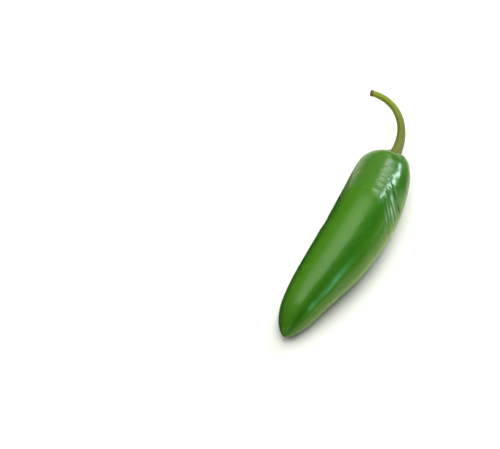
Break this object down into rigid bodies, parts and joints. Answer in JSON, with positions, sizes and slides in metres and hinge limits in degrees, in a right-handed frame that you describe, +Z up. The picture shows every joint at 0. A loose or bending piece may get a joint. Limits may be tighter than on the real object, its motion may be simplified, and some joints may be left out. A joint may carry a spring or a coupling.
{
  "type": "chilli pepper",
  "caption": "Whole green jalapeno-type chilli pepper lying on its side: smooth tapered pod, small cornered calyx and curled stem.",
  "frame": {"origin": "under the middle of the whole object's box, on the surface it rests on", "axes": "+X along the pod from its tip to its stem, +Y to the side the pod and the stem curl towards, +Z up"},
  "size_m": [0.1256, 0.0422, 0.0281],
  "materials": {
    "pod_skin": "waxy glossy green skin",
    "calyx_green": "dull dried green with a brown rim",
    "stem_green": "satin olive to yellow-green, ridged lengthwise"
  },
  "bodies": {
    "root": {"pod": "pod_skin", "calyx": "calyx_green", "stem": "stem_green"}
  },
  "joints": []
}
